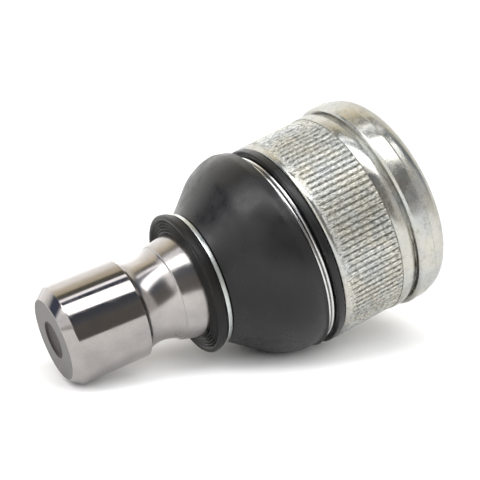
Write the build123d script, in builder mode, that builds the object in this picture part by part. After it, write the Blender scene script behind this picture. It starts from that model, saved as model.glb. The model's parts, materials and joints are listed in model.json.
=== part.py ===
"""Press-in suspension ball joint: a knurled housing, a ball stud with a pinch-bolt groove and a dust boot.

All sizes are in millimetres. The origin is the centre of the ball, +Z is up and +X runs from the
stud's tip to the housing. The joint lies on its side, on the stud's tip and the belly of the boot.
The housing's axis and the stud's axis both pass through the ball's centre and climb towards the
housing, at slightly different angles, because the stud leans a little in its socket.
Profiles are drawn on a plane through each axis: x runs along the axis and y is the radius.
"""

import os
from math import cos, radians, sin, sqrt

from build123d import *

# ---- Attitude ----
housing_tilt = 18.6
stud_tilt = 14.1

# ---- Housing: positions along its axis, negative towards the stud's tip ----
neck_end = -12.0
neck_r = 18.2
neck_chamfer = 0.4
boot_groove_front = -10.0
boot_groove_r = 17.5
shoulder_at = -5.75
shoulder_r = 20.9
body_start = -5.3
body_r = 21.4
collar_start = 7.9
collar_end = 10.9
collar_start_r = 21.5
collar_end_r = 21.3
collar_crown = 0.25
seam_r = 20.9
flange_start = 11.6
flange_end = 15.1
flange_r = 22.25
flange_bevel = 0.5
rim_front = (15.4, 22.0)
rim_start = (16.4, 21.85)
rim_shoulder = (18.5, 20.7)
rim_end = (19.7, 17.9)
rim_inner_r = 15.6
rim_inner_end = 19.0

# ---- Housing: inside ----
mouth_r = 14.4
throat_r = 12.5
throat_front = -8.8
lip_face = -7.3
lip_face_r = 14.9
bore_start = -3.0
bore_r = 18.5

# ---- Knurl on the press body ----
knurl_teeth = 108
knurl_depth = 0.45
knurl_groove_width = 0.75
knurl_start = -4.2
knurl_runout = 1.0
knurl_phase = 90 / knurl_teeth

# ---- Ball and its two bearing shells ----
ball_r = 13.0
ball_flat_at = 10.6
bearing_clearance = 0.05
front_bearing_end = 0.3
front_bearing_relief = 0.9
front_bearing_mouth_r = 12.2
rear_bearing_start = 0.8
rear_bearing_end = 12.5
rear_bearing_hole_r = 7.0

# ---- Disc spring and cover plate ----
spring_outer_r = 15.5
spring_inner_r = 8.0
spring_thickness = 1.0
plate_r = 18.8
plate_front = 15.2
plate_thickness = 1.5
plate_dish_r = 10.5
plate_dish_depth = 0.6
plate_dish_slope = 1.5

# ---- Stud ----
tip_at = -57.4
tip_r = 8.3
pinch_start = -55.5
pinch_r = 10.0
tip_recess_r = 3.5
tip_recess_depth = 0.4
bolt_groove_front = -41.55
bolt_groove_feet = ((-41.0, 9.15), (-34.4, 9.15))
bolt_groove_middle = (-37.7, 8.38)
bolt_groove_rear = -33.8
collar_front_r = 9.8
stud_collar_front = -29.4
stud_collar_rear = -24.3
stud_collar_r = 10.8
stud_taper_start = -23.5
stud_taper_start_r = 10.2
stud_neck_front = -16.0
stud_neck_r = 7.2

# ---- Dust boot: mouth, along the stud's axis ----
boot_bore_r = 10.95
boot_bore_end = -25.0
mouth_front = -29.3
mouth_lip = (-28.6, 14.6)
mouth_neck = (-27.0, 14.0)
mouth_ridges = 2
mouth_ridge_outer_r = 13.5
mouth_ridge_pitch = 1.0
mouth_ridge_depth = 0.5
small_ring_front = -26.9
small_ring_rear = -25.6
small_ring_front_r = 13.95
small_ring_rear_r = 13.7
small_ring_inner_r = 13.0
ring_gap = 0.1

# ---- Dust boot: bulge, as rings (along, radius, rise) that turn from the stud's axis to the housing's ----
bulge_start = (-25.5, 13.4)
bulge_rings = (
    (-24.4, 14.1, 0.0),
    (-22.6, 15.5, 0.1),
    (-20.9, 16.9, 0.25),
    (-18.7, 18.8, 0.45),
    (-16.6, 20.0, 0.6),
    (-14.3, 20.85, 0.8),
    (-12.0, 21.25, 0.9),
)
bulge_end_r = 20.95
bulge_end_rise = 0.67
bulge_wall = 1.8
turn_start = -22.0
turn_end = -10.0

# ---- Dust boot: base, along the housing's axis ----
base_front = -9.45
base_bore_r = 17.65
base_rear = -5.9
base_r = 21.3
base_edge = 0.25
base_cavity_end = -10.05
base_cavity_r = 18.4

# ---- Large clamp ring: two turns of round wire side by side ----
wire_r = 0.425
wire_pitch = 0.82
large_ring_middle = -8.35
large_ring_groove_r = 19.4


def axis_frame(tilt):
    """The profile plane and the axis of revolution of a part that climbs at this angle."""
    along = (cos(radians(tilt)), 0, sin(radians(tilt)))
    return Plane(origin=(0, 0, 0), x_dir=along, z_dir=(0, -1, 0)), Axis((0, 0, 0), along)


def cross_plane(tilt, along, rise=0.0):
    """The plane square to a part's axis at this distance along it, moved up in its own plane by rise."""
    c = cos(radians(tilt))
    s = sin(radians(tilt))
    origin = (along * c - rise * s, 0, along * s + rise * c)
    return Plane(origin=origin, x_dir=(-s, 0, c), z_dir=(c, 0, s))


def boot_tilt(along):
    """How steeply the boot climbs here, between the stud's tilt and the housing's."""
    share = min(max((along - turn_start) / (turn_end - turn_start), 0), 1)
    return stud_tilt + (housing_tilt - stud_tilt) * share**2 * (3 - 2 * share)


def sphere_at(radius, r):
    """How far from the centre a sphere of this radius is r wide."""
    return sqrt(radius**2 - r**2)


housing_plane, housing_axis = axis_frame(housing_tilt)
stud_plane, stud_axis = axis_frame(stud_tilt)
plate_rear = plate_front + plate_thickness
seat_r = ball_r + bearing_clearance
floor_level = pinch_start * sin(radians(stud_tilt)) - pinch_r * cos(radians(stud_tilt))
os.makedirs("parts", exist_ok=True)

# ---- Housing: a cold-formed cup, turned, knurled and rolled over its cover plate ----
with BuildPart() as housing:
    with BuildSketch(housing_plane):
        with BuildLine():
            Polyline(
                (rim_inner_end, rim_inner_r),
                (plate_rear, rim_inner_r),
                (plate_rear, plate_r),
                (plate_front, plate_r),
                (plate_front, bore_r),
                (bore_start, bore_r),
                (lip_face, lip_face_r),
                (lip_face, throat_r),
                (throat_front, throat_r),
                (neck_end, mouth_r),
                (neck_end, neck_r - neck_chamfer),
                (neck_end + neck_chamfer, neck_r),
                (boot_groove_front - neck_chamfer, neck_r),
                (boot_groove_front, boot_groove_r),
                (shoulder_at, boot_groove_r),
                (shoulder_at, shoulder_r),
                (body_start, body_r),
                (collar_start, body_r),
                (collar_start, collar_start_r),
            )
            ThreePointArc(
                (collar_start, collar_start_r),
                ((collar_start + collar_end) / 2, (collar_start_r + collar_end_r) / 2 + collar_crown),
                (collar_end, collar_end_r),
            )
            Polyline(
                (collar_end, collar_end_r),
                (collar_end, seam_r),
                (flange_start, seam_r),
                (flange_start, flange_r - flange_bevel),
                (flange_start + flange_bevel, flange_r),
                (flange_end, flange_r),
                rim_front,
                rim_start,
            )
            ThreePointArc(rim_start, rim_shoulder, rim_end)
            Line(rim_end, (rim_inner_end, rim_inner_r))
        make_face()
    revolve(axis=housing_axis)

    # Straight knurl: V grooves cut into the press body, which keep its full radius on their crests
    with BuildSketch(cross_plane(housing_tilt, knurl_start)):
        with PolarLocations(body_r, knurl_teeth, start_angle=knurl_phase):
            Polygon(
                (-knurl_depth, 0),
                (0, knurl_groove_width / 2),
                (knurl_depth, knurl_groove_width / 2),
                (knurl_depth, -knurl_groove_width / 2),
                (0, -knurl_groove_width / 2),
                align=None,
            )
    extrude(amount=collar_start - knurl_start, mode=Mode.SUBTRACT)

    # Each groove runs out to a point at its front end
    runout_r = body_r - 0.03
    root_r = body_r - knurl_depth - 0.1
    with BuildSketch(housing_plane):
        with BuildLine():
            Polyline(
                (knurl_start - 0.1, root_r),
                (knurl_start - 0.1, runout_r),
                (knurl_start, runout_r),
                (knurl_start + knurl_runout, root_r),
                close=True,
            )
        make_face()
    revolve(axis=housing_axis)
housing.part.label = "housing"
export_step(housing.part, "parts/housing.step")

# ---- Cover plate: a pressed disc with a dished middle, held by the rolled rim ----
with BuildPart() as cover_plate:
    with BuildSketch(housing_plane):
        with BuildLine():
            Polyline(
                (plate_front, 0),
                (plate_front, plate_r),
                (plate_rear, plate_r),
                (plate_rear, plate_dish_r),
                (plate_rear - plate_dish_depth, plate_dish_r - plate_dish_slope),
                (plate_rear - plate_dish_depth, 0),
                close=True,
            )
        make_face()
    revolve(axis=housing_axis)
cover_plate.part.label = "cover_plate"
export_step(cover_plate.part, "parts/cover_plate.step")

# ---- Bearing shells: two plastic half seats around the ball ----
with BuildPart() as front_bearing:
    seat_start = lip_face + front_bearing_relief
    seat_start_r = sphere_at(seat_r, seat_start)
    seat_end_r = sphere_at(seat_r, front_bearing_end)
    seat_middle = (seat_start + front_bearing_end) / 2
    with BuildSketch(housing_plane):
        with BuildLine():
            ThreePointArc(
                (seat_start, seat_start_r),
                (seat_middle, sphere_at(seat_r, seat_middle)),
                (front_bearing_end, seat_end_r),
            )
            Polyline(
                (front_bearing_end, seat_end_r),
                (front_bearing_end, bore_r),
                (bore_start, bore_r),
                (lip_face, lip_face_r),
                (lip_face, front_bearing_mouth_r),
                (seat_start, seat_start_r),
            )
        make_face()
    revolve(axis=housing_axis)
front_bearing.part.label = "front_bearing"
export_step(front_bearing.part, "parts/front_bearing.step")

with BuildPart() as rear_bearing:
    hole_edge = sphere_at(seat_r, rear_bearing_hole_r)
    seat_start_r = sphere_at(seat_r, rear_bearing_start)
    seat_middle = (rear_bearing_start + hole_edge) / 2
    with BuildSketch(housing_plane):
        with BuildLine():
            ThreePointArc(
                (rear_bearing_start, seat_start_r),
                (seat_middle, sphere_at(seat_r, seat_middle)),
                (hole_edge, rear_bearing_hole_r),
            )
            Polyline(
                (hole_edge, rear_bearing_hole_r),
                (rear_bearing_end, rear_bearing_hole_r),
                (rear_bearing_end, bore_r),
                (rear_bearing_start, bore_r),
                (rear_bearing_start, seat_start_r),
            )
        make_face()
    revolve(axis=housing_axis)
rear_bearing.part.label = "rear_bearing"
export_step(rear_bearing.part, "parts/rear_bearing.step")

# ---- Disc spring: a coned washer between the rear shell and the cover plate ----
with BuildPart() as disc_spring:
    with BuildSketch(housing_plane):
        with BuildLine():
            Polyline(
                (rear_bearing_end, spring_inner_r),
                (plate_front - spring_thickness, spring_outer_r),
                (plate_front, spring_outer_r),
                (rear_bearing_end + spring_thickness, spring_inner_r),
                close=True,
            )
        make_face()
    revolve(axis=housing_axis)
disc_spring.part.label = "disc_spring"
export_step(disc_spring.part, "parts/disc_spring.step")

# ---- Ball stud: tip, pinch cylinder, bolt groove, collar, neck and ball in one forging ----
with BuildPart() as ball_stud:
    neck_joins_ball = -sphere_at(ball_r, stud_neck_r)
    flat_r = sphere_at(ball_r, ball_flat_at)
    with BuildSketch(stud_plane):
        with BuildLine():
            Polyline(
                (ball_flat_at, 0),
                (tip_at + tip_recess_depth, 0),
                (tip_at + tip_recess_depth, tip_recess_r - tip_recess_depth),
                (tip_at, tip_recess_r),
                (tip_at, tip_r),
                (pinch_start, pinch_r),
                (bolt_groove_front, pinch_r),
                bolt_groove_feet[0],
            )
            ThreePointArc(bolt_groove_feet[0], bolt_groove_middle, bolt_groove_feet[1])
            Polyline(
                bolt_groove_feet[1],
                (bolt_groove_rear, collar_front_r),
                (stud_collar_front, stud_collar_r),
                (stud_collar_rear, stud_collar_r),
                (stud_taper_start, stud_taper_start_r),
                (stud_neck_front, stud_neck_r),
                (neck_joins_ball, stud_neck_r),
            )
            ThreePointArc((neck_joins_ball, stud_neck_r), (0, ball_r), (ball_flat_at, flat_r))
            Line((ball_flat_at, flat_r), (ball_flat_at, 0))
        make_face()
    revolve(axis=stud_axis)
ball_stud.part.label = "ball_stud"
export_step(ball_stud.part, "parts/ball_stud.step")

# ---- Dust boot: a ribbed mouth on the stud, a round bulge and a grooved base on the housing ----
with BuildPart() as dust_boot:
    groove_floor_r = small_ring_inner_r - ring_gap
    with BuildSketch(stud_plane):
        with BuildLine():
            Polyline(
                (bulge_start[0], 0),
                (mouth_front + mouth_ridge_depth, 0),
                (mouth_front + mouth_ridge_depth, mouth_ridge_outer_r - mouth_ridges * mouth_ridge_pitch),
                *[
                    (
                        mouth_front + mouth_ridge_depth * (half % 2 == 0),
                        mouth_ridge_outer_r - (mouth_ridges - half / 2) * mouth_ridge_pitch,
                    )
                    for half in range(1, 2 * mouth_ridges + 1)
                ],
                (mouth_front, mouth_lip[1] - 0.4),
                mouth_lip,
                mouth_neck,
                (small_ring_front - ring_gap, groove_floor_r),
                (bulge_start[0], groove_floor_r),
                close=True,
            )
        make_face()
    revolve(axis=stud_axis)

    # The bulge leans over from the stud's axis to the housing's, and is squeezed out at its top
    with BuildSketch(cross_plane(stud_tilt, bulge_start[0])):
        Circle(bulge_start[1])
    for along, radius, rise in bulge_rings:
        with BuildSketch(cross_plane(boot_tilt(along), along, rise)):
            Circle(radius)
    with BuildSketch(cross_plane(housing_tilt, base_front, bulge_end_rise)):
        Circle(bulge_end_r)
    loft()

    # Base: groove for the large clamp ring, and the lip against the housing's shoulder
    ring_room = wire_pitch / 2 + wire_r + ring_gap
    with BuildSketch(housing_plane):
        with BuildLine():
            Polyline(
                (base_front, 0),
                (base_front, large_ring_groove_r),
                (large_ring_middle + ring_room, large_ring_groove_r),
                (large_ring_middle + ring_room, base_r),
                (base_rear - base_edge, base_r),
                (base_rear, base_r - base_edge),
                (base_rear, 0),
                close=True,
            )
        make_face()
    revolve(axis=housing_axis)

    # Cavity: bore on the stud, room inside the bulge, and the bore on the housing's neck
    cavity_start = bulge_rings[0][0]
    with BuildSketch(stud_plane):
        with BuildLine():
            Polyline(
                (cavity_start, 0),
                (mouth_front - 1, 0),
                (mouth_front - 1, boot_bore_r),
                (boot_bore_end, boot_bore_r),
                (cavity_start, bulge_rings[0][1] - bulge_wall),
                close=True,
            )
        make_face()
    revolve(axis=stud_axis, mode=Mode.SUBTRACT)
    for along, radius, rise in bulge_rings:
        with BuildSketch(cross_plane(boot_tilt(along), along, rise)):
            Circle(radius - bulge_wall)
    loft(mode=Mode.SUBTRACT)
    last_along, last_radius, last_rise = bulge_rings[-1]
    with BuildSketch(cross_plane(boot_tilt(last_along), last_along, last_rise)):
        Circle(last_radius - bulge_wall)
    with BuildSketch(cross_plane(housing_tilt, base_cavity_end)):
        Circle(base_cavity_r)
    loft(ruled=True, mode=Mode.SUBTRACT)
    with BuildSketch(cross_plane(housing_tilt, base_cavity_end)):
        Circle(base_bore_r)
    extrude(amount=base_rear - base_cavity_end, mode=Mode.SUBTRACT)

    # The joint's weight presses the belly flat, level with the stud's tip
    split(bisect_by=Plane.XY.offset(floor_level), keep=Keep.TOP)
dust_boot.part.label = "dust_boot"
export_step(dust_boot.part, "parts/dust_boot.step")

# ---- Clamp rings ----
with BuildPart() as large_clamp_ring:
    wire_centre_r = large_ring_groove_r + ring_gap + wire_r
    with BuildSketch(housing_plane):
        for side in (-1, 1):
            with Locations((large_ring_middle + side * wire_pitch / 2, wire_centre_r)):
                Circle(wire_r)
    revolve(axis=housing_axis)
large_clamp_ring.part.label = "large_clamp_ring"
export_step(large_clamp_ring.part, "parts/large_clamp_ring.step")

with BuildPart() as small_clamp_ring:
    with BuildSketch(stud_plane):
        with BuildLine():
            Polyline(
                (small_ring_front, small_ring_inner_r),
                (small_ring_front, small_ring_front_r),
                (small_ring_rear, small_ring_rear_r),
                (small_ring_rear, small_ring_inner_r),
                close=True,
            )
        make_face()
        fillet(vertices(), 0.15)
    revolve(axis=stud_axis)
small_clamp_ring.part.label = "small_clamp_ring"
export_step(small_clamp_ring.part, "parts/small_clamp_ring.step")
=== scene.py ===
"""Looks of a press-in suspension ball joint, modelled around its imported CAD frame.

Sizes are in millimetres and angles in degrees until a mesh or a light is made. Profiles are points
(along, radius): along is measured from the ball's centre on an axis that climbs at a given tilt. A
third number rounds the corner there. Angles round an axis start at the top and go towards +Y.
"""

import json
from math import atan2, ceil, cos, degrees, floor, hypot, pi, radians, sin, tau

import bpy
from mathutils import Matrix, Vector, noise


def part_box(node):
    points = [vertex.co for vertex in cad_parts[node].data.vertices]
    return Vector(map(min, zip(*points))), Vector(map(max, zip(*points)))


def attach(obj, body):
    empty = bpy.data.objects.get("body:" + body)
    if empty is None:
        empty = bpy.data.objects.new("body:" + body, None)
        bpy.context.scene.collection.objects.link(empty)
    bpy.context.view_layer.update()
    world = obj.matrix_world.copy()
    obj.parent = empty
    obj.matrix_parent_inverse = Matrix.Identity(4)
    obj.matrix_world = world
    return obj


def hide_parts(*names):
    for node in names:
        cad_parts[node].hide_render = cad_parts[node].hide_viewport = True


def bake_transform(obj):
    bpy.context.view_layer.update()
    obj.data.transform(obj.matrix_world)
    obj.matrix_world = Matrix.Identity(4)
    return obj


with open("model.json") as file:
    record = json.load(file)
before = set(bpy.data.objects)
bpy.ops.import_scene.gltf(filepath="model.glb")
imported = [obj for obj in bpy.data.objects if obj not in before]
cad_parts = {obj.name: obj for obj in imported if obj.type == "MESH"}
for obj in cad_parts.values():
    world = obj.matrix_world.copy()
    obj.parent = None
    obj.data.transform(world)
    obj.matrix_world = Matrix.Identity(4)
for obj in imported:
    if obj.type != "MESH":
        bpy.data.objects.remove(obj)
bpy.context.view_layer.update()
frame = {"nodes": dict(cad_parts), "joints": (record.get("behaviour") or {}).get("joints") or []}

MM = 0.001
# A length too small to see, and the lengths under which points count as one or lie on the axis
HAIR = 0.01
SAME_POINT = 1e-5
ON_AXIS = 1e-6
CORNER_STEPS = 4
CORNER_LIMIT = 0.49
SHARP_ANGLE = 35
joints = {joint["name"]: joint for joint in frame["joints"]}


def tilt_of(joint_name):
    """How steeply a joint's axis climbs, in degrees."""
    x, _, z = joints[joint_name]["axis"]
    return degrees(atan2(z, x))


HOUSING_TILT = tilt_of("lean_direction")
STUD_TILT = tilt_of("stud_turn")
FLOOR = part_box("ball_stud")[0].z / MM

# ---- Camera ----
CAMERA_PLACE = (-148.6, -262.3, 77.24)
CAMERA_HEADING = 26.88
CAMERA_PITCH = 14.65
CAMERA_ROLL = -0.83
CAMERA_LENS = 114.5
CAMERA_SENSOR = 36
CAMERA_NEAR = 10

# ---- Housing ----
NECK_END = -12.0
NECK_R = 18.2
BOOT_SEAT = (-10.0, 17.5)
BOOT_SEAT_BEVEL = 0.4
SHOULDER = (-5.75, 20.9)
BODY_START = -5.3
BODY_R = 21.4
COLLAR = ((7.9, 21.5), (10.9, 21.3))
COLLAR_CROWN = 0.25
SEAM_R = 20.9
# (along, up) of the seam's floor from the rear of the collar, and from the front of the flange
SEAM_FLOOR = ((0.12, 0.02), (-0.02, 0.0))
SEAM_SPACING = 0.05
CRACK_DEPTH = 0.38
CRACK_UNEVEN = 0.9
CRACK_BACK = 0.1
CRACK_WANDER = 0.14
CRACK_HALF_WIDTH = 0.17
CRACK_LUMPS = 11
CRACK_LAYER = 4.2
# Angles between which the crack grows, and between which it fades
CRACK_STARTS = (70, 105)
CRACK_ENDS = (248, 278)
FLANGE = ((11.6, 22.25), (15.1, 22.25))
FLANGE_BEVEL = 0.5
RIM_FRONT = (15.4, 22.0)
RIM_START = (16.4, 21.85)
RIM_SHOULDER = (18.5, 20.7)
RIM_END = (19.7, 17.9)
RIM_INNER = (19.0, 15.6)
PLATE_REAR = 16.7
PLATE_FRONT = 15.2
PLATE_R = 18.8
BORE_R = 18.5
BORE_START = -3.0
LIP = (-7.3, 14.9)
THROAT = (-8.8, 12.5)
MOUTH_R = 14.4
DISH_OUTER_R = 10.5
DISH_INNER_R = 9.0
DISH_DEPTH = 0.6

# ---- Knurl: a tooth is one groove with half the land at each side ----
TEETH = 108
STEPS_PER_TOOTH = 8
KNURL_DEPTH = 0.45
KNURL_WIDTH = 0.58
KNURL_PHASE = 0.25
KNURL_START = -4.2
KNURL_LEAD = 0.5
KNURL_RUNOUT = 1.0
KNURL_END = 7.9
KNURL_SPACING = 0.26
# (behind the knurl, under the body's radius) of the small step in front of the collar
KNURL_STEP = ((0.02, 0.14), (0.06, 0.1))
KNURL_TO_COLLAR = 0.07
CHANCE_STEP = 3.71
CHANCE_LAYER = 0.5
START_SCATTER = 0.35
DEPTH_SCATTER = 0.15
REAR_FADE = 0.35
REAR_FADE_LENGTH = 0.8
HAMMER_DEPTH = 0.035
HAMMER_FINENESS = 2.6
HAMMER_RUNOUT = 0.6

# ---- Stud ----
TIP = (-57.4, 8.3)
TIP_EDGE = 0.12
TIP_RECESS_R = 3.8
TIP_RECESS_DEPTH = 0.4
TIP_RECESS_SLOPE = 0.5
PINCH = ((-55.5, 10.0), (-41.55, 10.0))
PINCH_EDGE = (0.08, 0.12)
BOLT_GROOVE_FOOT = (-41.0, 9.15)
BOLT_GROOVE = ((-40.4, 8.88), (-37.7, 8.38), (-33.7, 9.54))
BOLT_GROOVE_REAR = (-33.55, 9.8)
COLLAR_ON_STUD = ((-29.4, 10.8), (-24.3, 10.8))
STUD_TAPER = ((-23.5, 10.2), (-16.0, 7.2))
BALL_R = 13.0
BALL_FLAT = 10.6

# ---- Boot ----
BOOT_BORE_R = 10.95
BOOT_BORE_END = -25.0
MOUTH_PROFILE = (
    (-28.3, BOOT_BORE_R, 0.2),
    (-28.6, 10.83, 0.1),
    (-29.1, 10.83, 0.1),
    (-29.2, 11.15, 0.1),
    (-28.7, 11.35, 0.1),
    (-29.1, 11.7, 0.12),
    (-28.6, 11.95, 0.1),
    (-29.05, 12.3, 0.12),
    (-28.55, 12.6, 0.1),
    (-29.0, 12.95, 0.12),
    (-28.6, 13.2, 0.1),
    (-29.0, 13.5, 0.2),
    (-29.25, 14.05, 0.3),
    (-28.9, 14.55, 0.4),
    (-27.6, 14.35, 0.5),
    (-27.05, 13.9, 0.15),
)
SMALL_RING = (-26.9, -25.85)
SMALL_RING_GAP = 0.08
SMALL_RING_GROOVE_END = -25.55
SMALL_RING_INNER_R = 13.0
SMALL_RING_OUTER_R = (13.95, 13.7)
BULGE_START = (-25.5, 13.4)
# (along, radius, rise): the lean lifts each ring by its rise, at its top and at its bottom
BULGE_RINGS = (
    (-24.4, 14.1, 0.0),
    (-22.6, 15.5, 0.1),
    (-20.9, 16.9, 0.25),
    (-18.7, 18.8, 0.45),
    (-16.6, 20.0, 0.6),
    (-14.3, 20.85, 0.8),
    (-12.0, 21.25, 0.9),
    (-9.45, 20.95, 0.67),
)
BULGE_CROWN = 0.38
CROWN_GROWS = (-25.0, -20.9)
BULGE_WALL = 1.8
BOOT_BEND = (-22.0, -10.0)
CAVITY_END = (-10.05, 18.4)
CAVITY_BEVEL = 0.1
LARGE_RING_MIDDLE = -8.35
LARGE_RING_GROOVE_R = 19.4
LARGE_RING_ROOM = 0.935
BASE_REAR = -5.9
BASE_R = 21.3
BASE_BORE_R = 17.65
WIRE_R = 0.4
WIRE_GAP = 0.1
WIRE_PITCH = 0.86
WIRE_STEPS = 144
WIRE_FACETS = 5
WIRE_START = 70
# Turns between which the wire crosses over
WIRE_CROSSING = (0.93, 1.07)
WIRE_SLACK = 0.16
WIRE_LOOSE = -42
WIRE_LOOSE_REACH = 30

# ---- Room ----
# Metres from the middle of the floor to its sides
FLOOR_HALF = 3.0

# Bands of (degrees over the back horizon, colour) that the metal mirrors
ROOM_BANDS = (
    (0, (1.1, 1.1, 1.1)),
    (38, (1.1, 1.08, 1.03)),
    (50, (0.80, 0.73, 0.60)),
    (63, (0.60, 0.53, 0.40)),
    (67, (0.14, 0.13, 0.10)),
    (78, (0.10, 0.10, 0.09)),
    (80, (1.7, 1.7, 1.75)),
    (85, (1.7, 1.7, 1.75)),
    (87, (0.045, 0.055, 0.085)),
    (104, (0.04, 0.05, 0.08)),
    (126, (0.05, 0.06, 0.08)),
    (146, (0.11, 0.112, 0.12)),
    (150, (0.13, 0.122, 0.113)),
    (180, (0.12, 0.11, 0.103)),
)
ROOM_LEFT_BANDS = (
    (0, (0.9, 0.9, 0.88)),
    (28, (0.8, 0.8, 0.78)),
    (36, (0.07, 0.08, 0.12)),
    (62, (0.07, 0.08, 0.12)),
    (72, (0.95, 0.96, 1.0)),
    (150, (0.9, 0.9, 0.9)),
    (165, (0.55, 0.54, 0.52)),
    (180, (0.5, 0.48, 0.46)),
)
ROOM_RIGHT_BANDS = (
    (0, (0.9, 0.9, 0.88)),
    (55, (0.75, 0.72, 0.64)),
    (78, (0.30, 0.29, 0.26)),
    (86, (0.09, 0.11, 0.15)),
    (106, (0.07, 0.09, 0.13)),
    (126, (0.42, 0.41, 0.40)),
    (180, (0.5, 0.48, 0.46)),
)
# X of a direction where the wall at that end starts to show, and where it shows fully
ROOM_LEFT = (-0.5, -0.64)
ROOM_RIGHT = (0.38, 0.5)
ROOM_STRENGTH = 1.65


def section(tilt):
    """Unit vectors along, above and beside an axis that climbs at this tilt."""
    c = cos(radians(tilt))
    s = sin(radians(tilt))
    return Vector((c, 0, s)), Vector((-s, 0, c)), Vector((0, 1, 0))


def smoothstep(low, high, x):
    """A smooth rise from 0 below the low end to 1 above the high end."""
    t = min(max((x - low) / (high - low), 0.0), 1.0)
    return t * t * (3 - 2 * t)


def eased(points):
    """An outline with its corners rounded. A point is (along, radius) or (along, radius, easing).

    The easing is how far from the corner its curve starts. The two ends stay as they are.
    """
    result = []
    last = len(points) - 1
    for i, point in enumerate(points):
        corner = Vector(point[:2])
        ease = point[2] if len(point) > 2 else 0
        if not ease or i in (0, last):
            result.append(corner)
            continue
        before = Vector(points[i - 1][:2]) - corner
        after = Vector(points[i + 1][:2]) - corner
        start = corner + before.normalized() * min(ease, before.length * CORNER_LIMIT)
        end = corner + after.normalized() * min(ease, after.length * CORNER_LIMIT)
        for k in range(CORNER_STEPS + 1):
            t = k / CORNER_STEPS
            result.append(start * (1 - t) ** 2 + corner * 2 * t * (1 - t) + end * t**2)
    return result


def through(points, spacing=0.5):
    """A smooth curve through the points, as points about this far apart."""
    knots = [Vector(p) for p in points]
    knots = [knots[0] * 2 - knots[1]] + knots + [knots[-1] * 2 - knots[-2]]
    result = []
    for a, b, c, d in zip(knots, knots[1:], knots[2:], knots[3:]):
        steps = max(1, ceil((c - b).length / spacing))
        square = 2 * a - 5 * b + 4 * c - d
        cube = 3 * b - a - 3 * c + d
        for k in range(steps):
            t = k / steps
            result.append(0.5 * (2 * b + (c - a) * t + square * t**2 + cube * t**3))
    result.append(knots[-2])
    return result


def arc(start, middle, end, steps=16):
    """Points on the arc through three points."""
    (ax, ay), (bx, by), (cx, cy) = start, middle, end
    d = 2 * (ax * (by - cy) + bx * (cy - ay) + cx * (ay - by))
    a2, b2, c2 = ax * ax + ay * ay, bx * bx + by * by, cx * cx + cy * cy
    x = (a2 * (by - cy) + b2 * (cy - ay) + c2 * (ay - by)) / d
    y = (a2 * (cx - bx) + b2 * (ax - cx) + c2 * (bx - ax)) / d
    radius = hypot(ax - x, ay - y)
    first = atan2(ay - y, ax - x)
    half = (atan2(by - y, bx - x) - first + pi) % tau - pi
    whole = (atan2(cy - y, cx - x) - first) % tau
    if half < 0:
        whole -= tau
    angles = [first + whole * k / steps for k in range(steps + 1)]
    return [Vector((x + radius * cos(angle), y + radius * sin(angle))) for angle in angles]


def dense(points, spacing):
    """The same outline with extra points, no further apart than the spacing."""
    result = [points[0]]
    for a, b in zip(points, points[1:]):
        steps = max(1, ceil((b - a).length / spacing))
        result += [a.lerp(b, k / steps) for k in range(1, steps + 1)]
    return result


def placed(name, data):
    """Puts a new object with this data in the scene."""
    thing = bpy.data.objects.new(name, data)
    bpy.context.scene.collection.objects.link(thing)
    return thing


def joined(runs):
    """One outline from its runs, with its materials and the material's index for each stretch."""
    outline = []
    slots = []
    materials = []
    for points, material in runs:
        if material not in materials:
            materials.append(material)
        for point in points:
            if outline and (point - outline[-1]).length < SAME_POINT:
                continue
            if outline:
                slots.append(materials.index(material))
            outline.append(point)
    return outline, slots, materials


def turned(name, runs, tilt, segments=192, closed=False, shape=None):
    """A mesh turned about an axis. runs are (points, material) stretches of one outline.

    tilt is a number, or a function of the distance along the axis. shape moves a vertex, given
    along, radius and angle. A closed outline makes a ring, an open one has its ends on the axis.
    Its UVs are turns round the axis and millimetres along the outline.
    """
    outline, slots, materials = joined(runs)
    if closed:
        slots.append(slots[-1])
    lengths = [0.0]
    for a, b in zip(outline, outline[1:] + outline[:1]):
        lengths.append(lengths[-1] + (b - a).length)
    vertices = []
    rings = []
    for along, radius in outline:
        ring = 1 if radius < ON_AXIS else segments
        rings.append((len(vertices), ring))
        for k in range(ring):
            angle = tau * k / segments
            z, r = shape(along, radius, angle) if shape else (along, radius)
            ahead, above, beside = section(tilt(z) if callable(tilt) else tilt)
            vertices.append((ahead * z + (above * cos(angle) + beside * sin(angle)) * r) * MM)
    faces = []
    face_slots = []
    corners = []
    for i, slot in enumerate(slots):
        (a, na), (b, nb) = rings[i], rings[(i + 1) % len(rings)]
        low, high = lengths[i : i + 2]
        for k in range(segments):
            left, right = k / segments, (k + 1) / segments
            k1 = (k + 1) % segments
            if na == 1:
                faces.append((a, b + k1, b + k))
                corners += [(left, low), (right, high), (left, high)]
            elif nb == 1:
                faces.append((a + k, a + k1, b))
                corners += [(left, low), (right, low), (left, high)]
            else:
                faces.append((a + k, a + k1, b + k1, b + k))
                corners += [(left, low), (right, low), (right, high), (left, high)]
            face_slots.append(slot)
    mesh = bpy.data.meshes.new(name)
    mesh.from_pydata(vertices, [], faces)
    layer = mesh.uv_layers.new(name="turned")
    for loop, uv in zip(layer.data, corners):
        loop.uv = uv
    for material in materials:
        mesh.materials.append(material)
    mesh.polygons.foreach_set("material_index", face_slots)
    mesh.polygons.foreach_set("use_smooth", [True] * len(faces))
    mesh.set_sharp_from_angle(angle=radians(SHARP_ANGLE))
    return placed(name, mesh)


# ---- Materials ----


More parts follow.
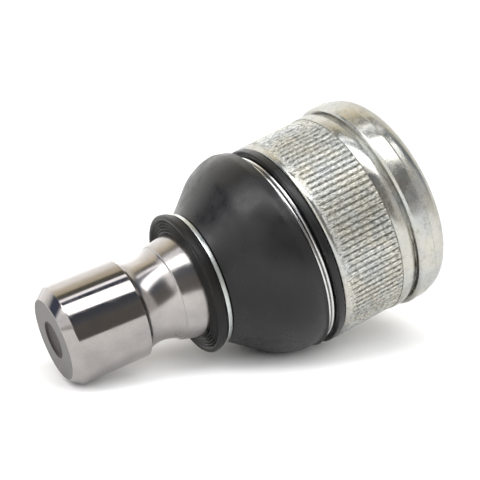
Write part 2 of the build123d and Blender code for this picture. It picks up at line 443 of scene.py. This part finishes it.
class Tree:
    """The nodes of a material or world, and short ways to add to them."""

    def __init__(self, owner):
        owner.use_nodes = True
        self.nodes = owner.node_tree.nodes
        self.links = owner.node_tree.links

    def node(self, kind, inputs=(), **settings):
        node = self.nodes.new(kind)
        for key, value in settings.items():
            setattr(node, key, value)
        for socket, value in dict(inputs).items():
            if isinstance(value, bpy.types.NodeSocket):
                self.links.new(value, node.inputs[socket])
            else:
                node.inputs[socket].default_value = value
        return node

    def math(self, operation, *values):
        return self.node("ShaderNodeMath", enumerate(values), operation=operation).outputs[0]

    def ramp(self, value, *stops):
        """A colour, or a grey if the stops are numbers, for each value from 0 to 1."""
        ramp = self.node("ShaderNodeValToRGB", {"Fac": value})
        elements = ramp.color_ramp.elements
        while len(elements) < len(stops):
            elements.new(0.5)
        for element, (position, colour) in zip(elements, stops):
            element.position = position
            grey = not hasattr(colour, "__len__")
            element.color = (colour,) * 3 + (1,) if grey else (*colour, 1)
        return ramp.outputs["Color"]

    def mixed(self, colour, under, share=1.0, how="MULTIPLY"):
        """The colour over another one, multiplied into it or mixed with it by this share."""
        inputs = {"Fac": share, "Color1": under, "Color2": colour}
        return self.node("ShaderNodeMixRGB", inputs, blend_type=how).outputs[0]


class Shader(Tree):
    """A Principled material. Its values are sockets of the shader that stay the same all over."""

    def __init__(self, name, **values):
        self.material = bpy.data.materials.new(name)
        super().__init__(self.material)
        self.body = self.nodes["Principled BSDF"]
        for key, value in values.items():
            self.body.inputs[key.replace("_", " ")].default_value = value

    def place(self, scale=(1, 1, 1), uv=False):
        """Coordinates in the piece's own metres, or turns round and millimetres along it."""
        source = self.node("ShaderNodeTexCoord").outputs["UV" if uv else "Object"]
        return self.node("ShaderNodeMapping", {"Vector": source, "Scale": scale}).outputs[0]

    def noise(self, place, scale=1.0, detail=2.0, roughness=0.5):
        inputs = {"Vector": place, "Scale": scale, "Detail": detail, "Roughness": roughness}
        return self.node("ShaderNodeTexNoise", inputs).outputs["Fac"]

    def bump(self, height, depth, onto=None):
        """A normal for this height, on top of another normal if one is given."""
        inputs = {"Height": height, "Distance": depth * MM, "Strength": 1.0}
        if onto is not None:
            inputs["Normal"] = onto
        return self.node("ShaderNodeBump", inputs).outputs["Normal"]

    def set(self, **sockets):
        """Drives sockets of the shader and gives the finished material."""
        for key, value in sockets.items():
            self.links.new(value, self.body.inputs[key.replace("_", " ")])
        return self.material


def zinc(name, roughness, grain, coat, streaks=None, underside_dark=0.0):
    """Zinc plating: silver with faint yellow and blue clouds under a thin clear film.

    roughness is its least and greatest. grain is the depth of its speckle, and streaks scale the
    speckle round and along a turned outline. The last argument darkens the colour to brown, in
    patches, round the lower half of each turn.
    """
    low, high = roughness
    m = Shader(
        name,
        Metallic=0.95,
        Specular_Tint=(0.6, 0.6, 0.6, 1),
        Coat_Weight=coat,
        Coat_Roughness=0.16,
        Coat_IOR=2.1,
    )
    place = m.place()
    clouds = m.noise(place, scale=130, detail=3)
    colour = m.ramp(
        clouds,
        (0.30, (0.35, 0.365, 0.368)),
        (0.45, (0.405, 0.41, 0.385)),
        (0.58, (0.435, 0.425, 0.372)),
        (0.72, (0.385, 0.392, 0.37)),
    )
    if streaks:
        speckle = m.noise(m.place((*streaks, 1), uv=True), detail=4, roughness=0.75)
        colour = m.mixed(m.ramp(speckle, (0.38, 0.45), (0.51, 1.15), (0.63, 1.8)), colour)
    else:
        speckle = m.noise(place, scale=2600, detail=2, roughness=0.6)
        stains = m.noise(place, scale=700, detail=5, roughness=0.7)
        colour = m.mixed(m.ramp(stains, (0.34, 0.76), (0.47, 1.0), (0.7, 1.06)), colour)
    # The colour turns dark brown in patches round the lower half of each turn, over the crack in
    # the seam.
    if underside_dark:
        round_it = m.node("ShaderNodeSeparateXYZ", {"Vector": m.place(uv=True)}).outputs["X"]
        below = m.ramp(round_it, (0.2, 0.0), (0.3, underside_dark), (0.70, underside_dark), (0.77, 0.0))
        patches = m.noise(place, scale=500, detail=4, roughness=0.7)
        darkening = m.math("MULTIPLY", below, m.ramp(patches, (0.35, 1.0), (0.6, 0.3)))
        colour = m.mixed((0.09, 0.07, 0.055, 1), colour, darkening, "MIX")
    wear = m.noise(place, scale=420, detail=4, roughness=0.65)
    return m.set(
        Base_Color=colour,
        Roughness=m.ramp(wear, (0.33, low), (0.67, high)),
        Normal=m.bump(speckle, grain),
    )


def ground_steel(name, colour, roughness, depth, lines=6.0):
    """Bare steel finished on a lathe or grinder: fine lines run round it, under small specks.

    roughness is its least and greatest. depth is that of the lines and specks, and lines is roughly
    how many lie on a millimetre.
    """
    low, high = roughness
    m = Shader(name, Metallic=1.0)
    fine = m.noise(m.place((3.0, lines, 1), uv=True), detail=4, roughness=0.7)
    smudge = m.noise(m.place(), scale=260, detail=3)
    specks = m.noise(m.place(), scale=3600, detail=3, roughness=0.7)
    dark = tuple(c * 0.86 for c in colour)
    tint = m.ramp(smudge, (0.35, colour), (0.7, dark))
    return m.set(
        Base_Color=m.mixed(m.ramp(specks, (0.36, 0.92), (0.5, 1.0), (0.64, 1.04)), tint),
        Roughness=m.ramp(smudge, (0.3, low), (0.7, high)),
        Normal=m.bump(specks, depth, onto=m.bump(fine, depth)),
    )


def dull_steel(name, colour, grain):
    """A dull cut or forged face, with darker spots. grain is how deep they are."""
    m = Shader(name, Metallic=0.6)
    spots = m.noise(m.place(), scale=1400, detail=4, roughness=0.7)
    dark = tuple(c * 0.6 for c in colour)
    return m.set(
        Base_Color=m.ramp(spots, (0.35, dark), (0.65, colour)),
        Roughness=m.ramp(spots, (0.3, 0.45), (0.7, 0.65)),
        Normal=m.bump(spots, grain),
    )


def rubber(name, shade, roughness, gloss, ridges=0.0):
    """Moulded black rubber with a soft, patchy sheen.

    roughness is its least and greatest. gloss is how strongly it mirrors, and ridges is the depth
    of fine moulded rings.
    """
    low, high = roughness
    m = Shader(name, Specular_IOR_Level=gloss)
    place = m.place()
    skin = m.noise(place, scale=3200, detail=2, roughness=0.55)
    clouds = m.noise(place, scale=90, detail=3)
    bloom = m.noise(place, scale=240, detail=5, roughness=0.7)
    pale = tuple(c * 1.8 for c in shade)
    normal = m.bump(skin, 0.012)
    if ridges:
        rings = m.noise(m.place((1.5, 2.6, 1), uv=True), detail=3, roughness=0.7)
        normal = m.bump(rings, ridges, onto=normal)
    return m.set(
        Base_Color=m.ramp(clouds, (0.35, shade), (0.75, pale)),
        Roughness=m.ramp(bloom, (0.3, low), (0.7, high)),
        Normal=normal,
    )


def plastic(name, colour):
    """Natural acetal of the hidden bearing shells."""
    m = Shader(name, Specular_IOR_Level=0.5)
    clouds = m.noise(m.place(), scale=300, detail=3)
    dark = tuple(c * 0.9 for c in colour)
    return m.set(
        Base_Color=m.ramp(clouds, (0.35, colour), (0.75, dark)),
        Roughness=m.ramp(clouds, (0.3, 0.35), (0.7, 0.5)),
    )


ZINC_SMOOTH = zinc("zinc_smooth", roughness=(0.15, 0.36), grain=0.01, coat=0.45)
ZINC_KNURL = zinc("zinc_knurl", (0.34, 0.6), grain=0.14, coat=0.25, streaks=(360, 1.2))
# The seam's zinc is darker brown in patches round the lower half of its turn.
ZINC_SEAM = zinc("zinc_seam", (0.35, 0.6), grain=0.05, coat=0.2, underside_dark=0.95)
ZINC_PLATE = zinc("zinc_plate", (0.28, 0.45), grain=0.012, coat=0.5)
GROUND = ground_steel("stud_ground", (0.345, 0.323, 0.312), (0.07, 0.15), depth=0.0018)
POLISHED = ground_steel("stud_polished", (0.39, 0.368, 0.356), (0.16, 0.28), 0.0006, lines=3.0)
TIP_FACE = dull_steel("stud_tip_face", (0.17, 0.163, 0.158), grain=0.04)
TIP_RECESS = dull_steel("stud_tip_recess", (0.035, 0.027, 0.023), grain=0.2)
HIDDEN_STEEL = ground_steel("stud_ball", (0.55, 0.54, 0.53), (0.12, 0.2), depth=0.001)
RUBBER = rubber("boot_rubber", (0.0055, 0.0055, 0.0058), (0.2, 0.46), gloss=0.31)
MOUTH_RUBBER = rubber("boot_mouth_rubber", (0.0055, 0.005, 0.0048), (0.3, 0.45), 0.2, ridges=0.13)
WIRE = ground_steel("ring_wire", (0.66, 0.66, 0.65), (0.12, 0.25), depth=0.002)
BAND = ground_steel("ring_band", (0.55, 0.58, 0.56), (0.22, 0.42), depth=0.004)
ACETAL = plastic("bearing_acetal", (0.8, 0.79, 0.74))
SPRING = ground_steel("spring_steel", (0.2, 0.2, 0.21), (0.3, 0.4), depth=0.002)


# ---- Housing ----


def tooth_chance(index, seed):
    """An uneven number for each tooth, the same in each run and mostly from -1 to 1."""
    return noise.noise(Vector((index * CHANCE_STEP, seed, CHANCE_LAYER))) * 2


def knurl(along, radius, angle):
    """Cuts the V grooves of the straight knurl, which run out to points at their front.

    The whole band is lightly hammered too.
    """
    tooth = angle / tau * TEETH + 0.5 - KNURL_PHASE
    index = floor(tooth)
    pitch = tau * BODY_R / TEETH
    aside = abs(tooth - index - 0.5) * pitch
    start = KNURL_START + START_SCATTER * tooth_chance(index, seed=1.0)
    depth = KNURL_DEPTH * (1 + DEPTH_SCATTER * tooth_chance(index, seed=7.0))
    depth *= min(max((along - start) / KNURL_RUNOUT, 0.0), 1.0)
    depth *= 1 - REAR_FADE * smoothstep(KNURL_END - REAR_FADE_LENGTH, KNURL_END, along)
    cut = max(0.0, depth - aside * KNURL_DEPTH / (KNURL_WIDTH / 2))
    spot = [v * HAMMER_FINENESS for v in (along, radius * cos(angle), radius * sin(angle))]
    hammered = HAMMER_DEPTH * (1 + noise.noise(Vector(spot)))
    return along, radius - cut - hammered * smoothstep(start, start + HAMMER_RUNOUT, along)


def seam(along, radius, angle):
    """The seam behind the collar: a smooth valley at the top and a ragged crack lower down."""
    turn = degrees(angle) % 360
    below = smoothstep(*CRACK_STARTS, turn) * (1 - smoothstep(*CRACK_ENDS, turn))
    middle = (COLLAR[1][0] + FLANGE[0][0]) / 2 + CRACK_BACK
    spot = Vector((cos(angle) * CRACK_LUMPS, sin(angle) * CRACK_LUMPS, CRACK_LAYER))
    ragged = noise.noise(spot)
    near = max(0.0, 1 - abs(along - middle - CRACK_WANDER * ragged) / CRACK_HALF_WIDTH)
    return along, radius - CRACK_DEPTH * below * near * (1 + CRACK_UNEVEN * ragged)


def housing_shape(along, radius, angle):
    """The knurl on the body, the crack in the seam, and the rest of the outline as it is."""
    if radius > BODY_R - HAIR and KNURL_START - KNURL_LEAD - HAIR < along < KNURL_END + HAIR:
        return knurl(along, radius, angle)
    if radius > SEAM_R - HAIR and COLLAR[1][0] < along < FLANGE[0][0]:
        return seam(along, radius, angle)
    return along, radius


def make_housing():
    knurl_front = (KNURL_START - KNURL_LEAD, BODY_R)
    collar_front, collar_rear = COLLAR
    collar_middle = (
        (collar_front[0] + collar_rear[0]) / 2,
        (collar_front[1] + collar_rear[1]) / 2 + COLLAR_CROWN,
    )
    flange, flange_r = FLANGE[0]
    front = eased(
        [
            (BORE_START, BORE_R),
            LIP,
            (LIP[0], THROAT[1]),
            (*THROAT, 0.4),
            (NECK_END, MOUTH_R, 0.4),
            (NECK_END, NECK_R, 0.5),
            (BOOT_SEAT[0] - BOOT_SEAT_BEVEL, NECK_R, 0.2),
            (*BOOT_SEAT, 0.2),
            (SHOULDER[0], BOOT_SEAT[1]),
            (*SHOULDER, 0.25),
            (BODY_START, BODY_R, 0.3),
            knurl_front,
        ]
    )
    knurled = dense([Vector(knurl_front), Vector((KNURL_END, BODY_R))], KNURL_SPACING)
    step = [Vector((KNURL_END + back, BODY_R - down)) for back, down in KNURL_STEP]
    collar = [Vector((KNURL_END + KNURL_TO_COLLAR, collar_front[1]))]
    collar += arc(collar_front, collar_middle, collar_rear, steps=8)[1:]
    valley = [
        Vector((edge + along, SEAM_R + up))
        for edge, (along, up) in zip((collar_rear[0], flange), SEAM_FLOOR)
    ]
    valley = dense(valley, SEAM_SPACING)
    rear = eased(
        [
            valley[-1],
            (flange, valley[0].y),
            (flange, flange_r - FLANGE_BEVEL, 0.12),
            (flange + FLANGE_BEVEL, flange_r, 0.12),
            (*FLANGE[1], 0.1),
            (*RIM_FRONT, 0.15),
            RIM_START,
        ]
    )
    rear += arc(RIM_START, RIM_SHOULDER, RIM_END)
    rear += eased([RIM_END, (*RIM_INNER, 0.6), (PLATE_REAR, RIM_INNER[1])])
    inside = eased([(PLATE_REAR, PLATE_R), (PLATE_FRONT, PLATE_R), (PLATE_FRONT, BORE_R)])
    runs = [
        (front, ZINC_SMOOTH),
        (knurled + step, ZINC_KNURL),
        (collar, ZINC_SMOOTH),
        (valley, ZINC_SEAM),
        (rear, ZINC_SMOOTH),
        (inside, ZINC_SMOOTH),
    ]
    around = TEETH * STEPS_PER_TOOTH
    piece = turned("housing_shell", runs, HOUSING_TILT, around, closed=True, shape=housing_shape)
    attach(piece, "socket")
    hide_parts("housing")


def make_cover_plate():
    points = eased(
        [
            (PLATE_FRONT, 0),
            (PLATE_FRONT, PLATE_R),
            (PLATE_REAR, PLATE_R),
            (PLATE_REAR, DISH_OUTER_R, 0.8),
            (PLATE_REAR - DISH_DEPTH, DISH_INNER_R, 0.8),
            (PLATE_REAR - DISH_DEPTH, 0),
        ]
    )
    piece = turned("cover_disc", [(points, ZINC_PLATE)], HOUSING_TILT)
    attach(piece, "socket")
    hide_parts("cover_plate")


# ---- Stud ----


def make_stud():
    tip, tip_r = TIP
    recess_end = (tip, TIP_RECESS_R)
    face_end = (tip, tip_r - TIP_EDGE)
    pinch_front, pinch_rear = PINCH
    pinch_edge = (pinch_rear[0] + PINCH_EDGE[0], pinch_rear[1] - PINCH_EDGE[1])
    neck_r = STUD_TAPER[1][1]
    neck_end = (-((BALL_R**2 - neck_r**2) ** 0.5), neck_r)
    flat_r = (BALL_R**2 - BALL_FLAT**2) ** 0.5
    recess = eased(
        [
            (tip + TIP_RECESS_DEPTH, 0),
            (tip + TIP_RECESS_DEPTH, TIP_RECESS_R - TIP_RECESS_SLOPE, 0.3),
            recess_end,
        ]
    )
    face = eased([recess_end, face_end])
    cylinder = eased(
        [face_end, (*TIP, 0.1), (*pinch_front, 0.15), (*pinch_rear, 0.06), pinch_edge]
    )
    groove = eased([pinch_edge, (*BOLT_GROOVE_FOOT, 0.6), BOLT_GROOVE[0]])
    groove += arc(*BOLT_GROOVE, steps=32)
    collar = eased(
        [
            BOLT_GROOVE[2],
            (*BOLT_GROOVE_REAR, 0.1),
            (*COLLAR_ON_STUD[0], 1.2),
            (*COLLAR_ON_STUD[1], 0.3),
            (*STUD_TAPER[0], 0.3),
            (*STUD_TAPER[1], 1.0),
            neck_end,
        ]
    )
    ball = arc(neck_end, (0, BALL_R), (BALL_FLAT, flat_r), steps=40)
    ball.append(Vector((BALL_FLAT, 0)))
    runs = [
        (recess, TIP_RECESS),
        (face, TIP_FACE),
        (cylinder, GROUND),
        (groove, POLISHED),
        (collar, POLISHED),
        (ball, HIDDEN_STEEL),
    ]
    piece = turned("stud_forging", runs, STUD_TILT, segments=256)
    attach(piece, "stud")
    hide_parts("ball_stud")


# ---- Boot ----


def boot_tilt(along):
    """The boot's rings turn from square to the stud to square to the housing."""
    return STUD_TILT + (HOUSING_TILT - STUD_TILT) * smoothstep(*BOOT_BEND, along)


def boot_shape(along, radius, angle):
    """The lean squeezes the bulge out at its top and draws it in at its bottom.

    The part of the base that is held on the housing stays round.
    """
    held = along > CAVITY_END[0] - HAIR and radius < LARGE_RING_GROOVE_R + WIRE_GAP
    rise = 0
    crown = 0
    for (a, _, low), (b, _, high) in zip(BULGE_RINGS, BULGE_RINGS[1:]):
        if a <= along <= b and not held:
            rise = low + (high - low) * (along - a) / (b - a)
            crown = BULGE_CROWN * smoothstep(*CROWN_GROWS, along)
    return along, radius + rise * cos(angle) + crown * max(0.0, cos(angle)) ** 2


def make_boot():
    """The boot's rings, turned with its bend, and flat where its belly rests on the floor."""
    mouth = eased(
        [
            (BOOT_BORE_END, BOOT_BORE_R),
            *MOUTH_PROFILE,
            (SMALL_RING[0] - SMALL_RING_GAP, SMALL_RING_INNER_R - SMALL_RING_GAP, 0.1),
            (SMALL_RING_GROOVE_END, SMALL_RING_INNER_R - SMALL_RING_GAP, 0.1),
            BULGE_START,
        ]
    )
    bulge = through([BULGE_START, *(ring[:2] for ring in BULGE_RINGS)])
    base_front = BULGE_RINGS[-1][0]
    groove_end = LARGE_RING_MIDDLE + LARGE_RING_ROOM
    base = eased(
        [
            BULGE_RINGS[-1][:2],
            (base_front, LARGE_RING_GROOVE_R, 0.2),
            (groove_end, LARGE_RING_GROOVE_R, 0.2),
            (groove_end, BASE_R, 0.3),
            (BASE_REAR, BASE_R, 0.35),
            (BASE_REAR, BASE_BORE_R, 0.2),
            (CAVITY_END[0] + CAVITY_BEVEL, BASE_BORE_R, 0.2),
            (*CAVITY_END, 0.3),
        ]
    )
    wall = [(along, radius - BULGE_WALL) for along, radius, _ in BULGE_RINGS[:-1]]
    inside = through([CAVITY_END, *reversed(wall), (BOOT_BORE_END, BOOT_BORE_R)], spacing=1.0)
    runs = [(mouth, MOUTH_RUBBER), (bulge, RUBBER), (base, RUBBER), (inside, RUBBER)]
    piece = turned("rubber_boot", runs, boot_tilt, segments=224, closed=True, shape=boot_shape)
    for vertex in piece.data.vertices:
        vertex.co.z = max(vertex.co.z, FLOOR * MM)
    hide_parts("dust_boot")
    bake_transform(piece)


def make_small_ring():
    """A flat band. Its outline starts and ends in the middle of its front face."""
    front, rear = SMALL_RING
    front_r, rear_r = SMALL_RING_OUTER_R
    middle_r = (SMALL_RING_INNER_R + front_r) / 2
    points = eased(
        [
            (front, middle_r),
            (front, front_r, 0.2),
            (rear, rear_r, 0.2),
            (rear, SMALL_RING_INNER_R, 0.1),
            (front, SMALL_RING_INNER_R, 0.1),
            (front, middle_r - HAIR),
        ]
    )
    piece = turned("mouth_band", [(points, BAND)], STUD_TILT, segments=256, closed=True)
    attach(piece, "boot_mouth")
    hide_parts("small_clamp_ring")


def make_large_ring():
    """Round wire wound twice. Its ends and the crossing between its turns are at the far side.

    The turns part a little where the wire is loose.
    """
    ahead, above, beside = section(HOUSING_TILT)
    curve = bpy.data.curves.new("wire_path", "CURVE")
    curve.dimensions = "3D"
    curve.bevel_depth = WIRE_R * MM
    curve.bevel_resolution = WIRE_FACETS
    curve.use_fill_caps = True
    spline = curve.splines.new("POLY")
    spline.points.add(2 * WIRE_STEPS)
    wire_centre = LARGE_RING_GROOVE_R + WIRE_GAP + WIRE_R
    for k, point in enumerate(spline.points):
        turn = k / WIRE_STEPS
        angle = WIRE_START + turn * 360
        side = smoothstep(*WIRE_CROSSING, turn) - 0.5
        apart = abs((angle - WIRE_LOOSE + 180) % 360 - 180)
        loose = max(0.0, 1 - apart / WIRE_LOOSE_REACH)
        along = LARGE_RING_MIDDLE + side * (WIRE_PITCH + WIRE_SLACK * loose)
        round_it = above * cos(radians(angle)) + beside * sin(radians(angle))
        point.co = (*((ahead * along + round_it * wire_centre) * MM), 1)
    path = placed("wire_path", curve)
    mesh = bpy.data.meshes.new_from_object(path)
    bpy.data.objects.remove(path)
    mesh.name = "wire_ring"
    mesh.materials.clear()
    mesh.materials.append(WIRE)
    mesh.polygons.foreach_set("use_smooth", [True] * len(mesh.polygons))
    piece = placed("wire_ring", mesh)
    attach(piece, "socket")
    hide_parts("large_clamp_ring")


def finish_hidden_pieces():
    """The CAD solids that stay as they are get their materials."""
    finishes = {"front_bearing": ACETAL, "rear_bearing": ACETAL, "disc_spring": SPRING}
    for name, material in finishes.items():
        node = frame["nodes"][name]
        node.data.materials.clear()
        node.data.materials.append(material)


# ---- Stage, light and camera ----


def make_floor():
    """A matt white floor, which the boot's belly and the stud's tip rest on."""
    mesh = bpy.data.meshes.new("floor")
    square = ((-1, -1), (1, -1), (1, 1), (-1, 1))
    corners = [(x * FLOOR_HALF, y * FLOOR_HALF, FLOOR * MM) for x, y in square]
    mesh.from_pydata(corners, [], [(0, 1, 2, 3)])
    m = Shader("floor_white", Roughness=0.9, Specular_IOR_Level=0.1)
    clouds = m.noise(m.place(), scale=3)
    mesh.materials.append(m.set(Base_Color=m.ramp(clouds, (0.3, 0.76), (0.7, 0.78))))
    piece = placed("floor", mesh)


def make_world():
    """A white wall behind, warm near its top, a bright line in a dark ceiling, and a dark front.

    These are bands along X. Lighter walls close them at both ends. Under the horizon, the colour of
    the back horizon goes on.
    """
    world = bpy.data.worlds.new("studio")
    tree = Tree(world)
    direction = tree.node("ShaderNodeTexCoord").outputs["Generated"]
    x, y, z = tree.node("ShaderNodeSeparateXYZ", {"Vector": direction}).outputs
    turn = tree.math("DIVIDE", tree.math("ARCTAN2", z, y), pi)

    def banded(bands):
        return tree.ramp(turn, *((angle / 180, colour) for angle, colour in bands))

    colour = banded(ROOM_BANDS)
    for bands, (start, full) in ((ROOM_LEFT_BANDS, ROOM_LEFT), (ROOM_RIGHT_BANDS, ROOM_RIGHT)):
        share = tree.math("DIVIDE", tree.math("SUBTRACT", x, start), full - start)
        share = tree.math("MINIMUM", tree.math("MAXIMUM", share, 0.0), 1.0)
        colour = tree.mixed(banded(bands), colour, share, "MIX")
    background = tree.nodes["Background"]
    tree.links.new(colour, background.inputs["Color"])
    background.inputs["Strength"].default_value = ROOM_STRENGTH
    bpy.context.scene.world = world


def make_strip(name, angle, distance, ends, width, brightness, yaw):
    """A strip light nearly along X, at this angle over the back horizon abreast of the ball.

    Its distance, ends and width are in metres. Its power is its area times its brightness times pi.
    yaw swings its low-X end towards the back wall. It shines along its own -Z.
    """
    light = bpy.data.lights.new(name, "AREA")
    light.shape = "RECTANGLE"
    light.size, light.size_y = ends[1] - ends[0], width
    light.energy = brightness * pi * light.size * light.size_y
    swing = Matrix.Rotation(radians(-yaw), 4, "Z")
    place = Vector((0, distance * cos(radians(angle)), distance * sin(radians(angle))))
    place += swing @ Vector(((ends[0] + ends[1]) / 2, 0, 0))
    turn = swing @ Matrix.Rotation(radians(angle - 90), 4, "X")
    placed(name, light).matrix_world = Matrix.Translation(place) @ turn


def make_fill(name, strength, spread, source):
    """Wide soft light, which lights the floor evenly and stays out of the metal's reflections.

    source is a direction towards it.
    """
    light = bpy.data.lights.new(name, "SUN")
    light.energy = strength
    light.angle = radians(spread)
    lamp = placed(name, light)
    lamp.matrix_world = Vector(source).to_track_quat("Z", "Y").to_matrix().to_4x4()
    lamp.visible_glossy = False


def make_camera():
    """The photograph's view. The heading turns from +Y towards +X, and the pitch looks down."""
    heading = radians(CAMERA_HEADING)
    pitch = radians(CAMERA_PITCH)
    roll = radians(CAMERA_ROLL)
    level = Vector((cos(heading), -sin(heading), 0))
    ahead = Vector((cos(pitch) * sin(heading), cos(pitch) * cos(heading), -sin(pitch)))
    upright = level.cross(ahead)
    right = level * cos(roll) + upright * sin(roll)
    above = upright * cos(roll) - level * sin(roll)
    data = bpy.data.cameras.new("camera")
    data.sensor_width = CAMERA_SENSOR
    data.lens = CAMERA_LENS
    data.clip_start = CAMERA_NEAR * MM
    camera = placed("camera", data)
    turn = Matrix((right, above, -ahead)).transposed().to_4x4()
    camera.matrix_world = Matrix.Translation(Vector(CAMERA_PLACE) * MM) @ turn
    bpy.context.scene.camera = camera


make_camera()
make_housing()
make_cover_plate()
make_stud()
make_boot()
make_small_ring()
make_large_ring()
finish_hidden_pieces()
make_floor()
make_world()
make_strip("key", angle=110, distance=0.7, ends=(-1.7, 0.42), width=0.31, brightness=4.5, yaw=11)
make_fill("fill", strength=2.7, spread=50, source=(0.1, -0.85, 0.62))
bpy.context.scene.view_settings.view_transform = "Standard"
